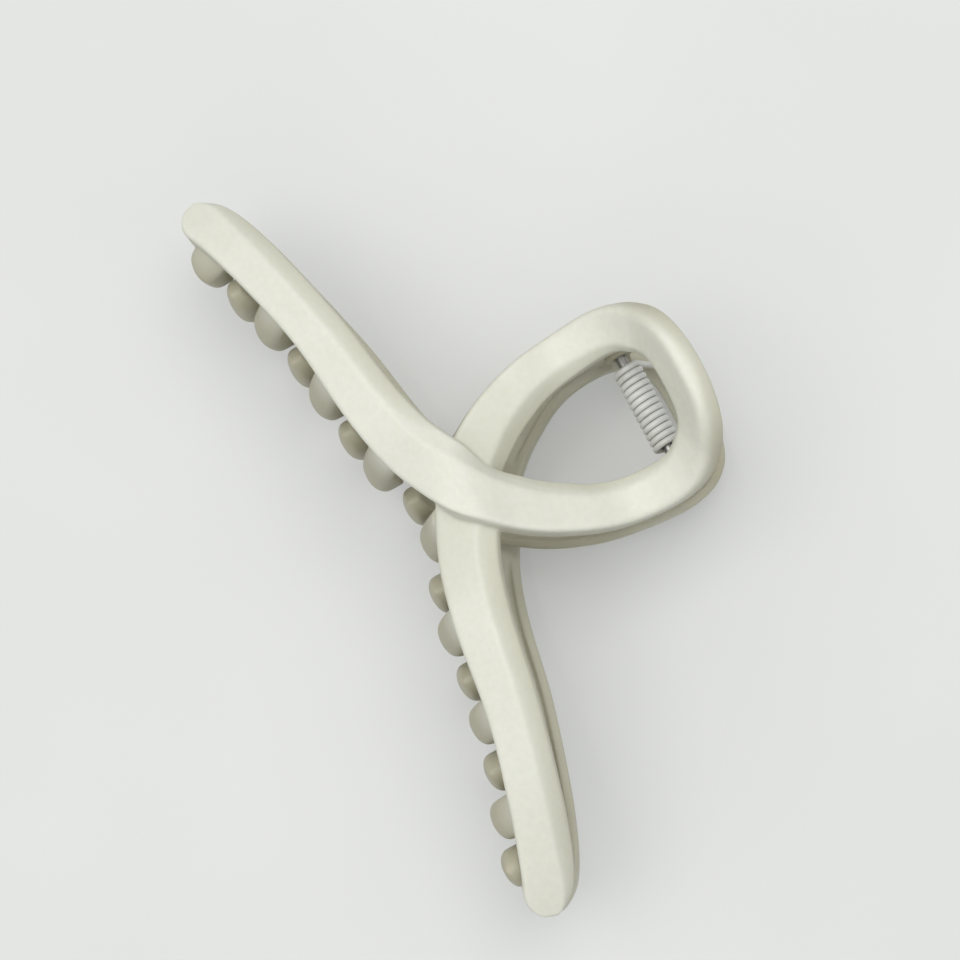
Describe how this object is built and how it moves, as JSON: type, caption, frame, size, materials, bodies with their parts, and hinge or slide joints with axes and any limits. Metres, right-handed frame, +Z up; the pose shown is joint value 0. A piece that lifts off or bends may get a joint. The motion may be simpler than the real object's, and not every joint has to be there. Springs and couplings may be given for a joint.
{
  "type": "ribbon-loop hair claw clip",
  "caption": "Hair claw clip: two moulded ribbon-loop jaws with interleaved teeth on a sprung hinge; squeezing the handles opens the jaws.",
  "frame": {"origin": "centre of the base of the clip's bounding box, on the plane the clip lies on", "axes": "+X along the hinge pin, +Y from the teeth towards the handle, +Z up from the back jaw to the front jaw"},
  "size_m": [0.1344, 0.0672, 0.0404],
  "materials": {
    "jaw_plastic": "matte",
    "pin_steel": "satin",
    "spring_wire": "satin"
  },
  "bodies": {
    "back": {"jaw_back": "jaw_plastic", "hinge_pin": "pin_steel", "spring_coil": "spring_wire", "spring_leg_back": "spring_wire"},
    "front": {"jaw_front": "jaw_plastic", "spring_leg_front": "spring_wire"}
  },
  "joints": [
    {"name": "jaw_hinge", "type": "hinge", "parent": "back", "child": "front", "pos_m": [0, 0.0232, 0.0202], "axis": [-1, 0, 0], "range_deg": [0, 115], "stiffness_Nm_per_rad": 0.085, "springref_deg": -45.84, "deforming": ["spring_coil"]}
  ]
}
